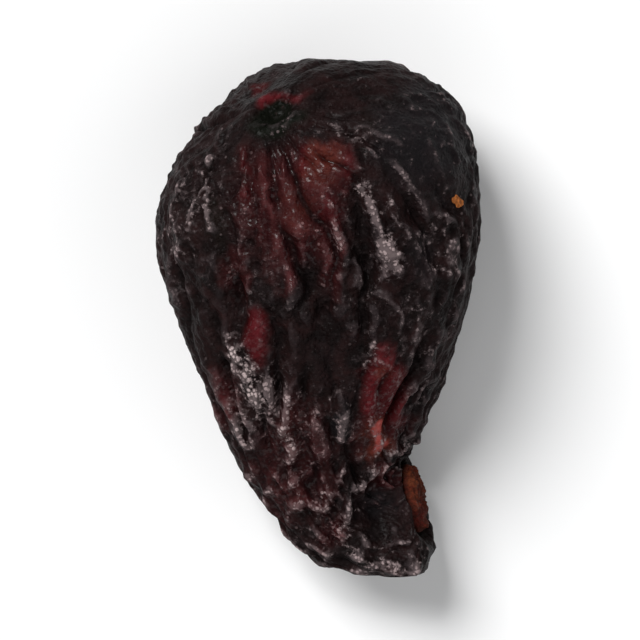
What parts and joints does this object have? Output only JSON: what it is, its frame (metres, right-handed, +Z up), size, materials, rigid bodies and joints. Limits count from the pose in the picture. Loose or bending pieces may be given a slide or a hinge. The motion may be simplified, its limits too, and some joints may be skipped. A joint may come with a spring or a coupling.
{
  "type": "dried black fig",
  "caption": "Whole dried black fig lying on its side: a shrivelled pear shape with lengthwise folds, a sunken eye at the broad end and a cut stalk in its hooked neck.",
  "frame": {"origin": "on the surface the fruit lies on, under the middle of its outline seen from above", "axes": "+Y from the neck end to the broad end with the eye, +Z up, +X to the side the cut stalk faces"},
  "size_m": [0.0282, 0.0445, 0.0209],
  "materials": {
    "skin": "dried fruit skin, near-black purple brown with dull red glossy patches and a pale grey sugar bloom on the crests",
    "stalk_wood": "dry cut stalk, orange brown to brick red, matt"
  },
  "bodies": {
    "root": {"fruit": "skin", "stalk_stump": "stalk_wood"}
  },
  "joints": []
}
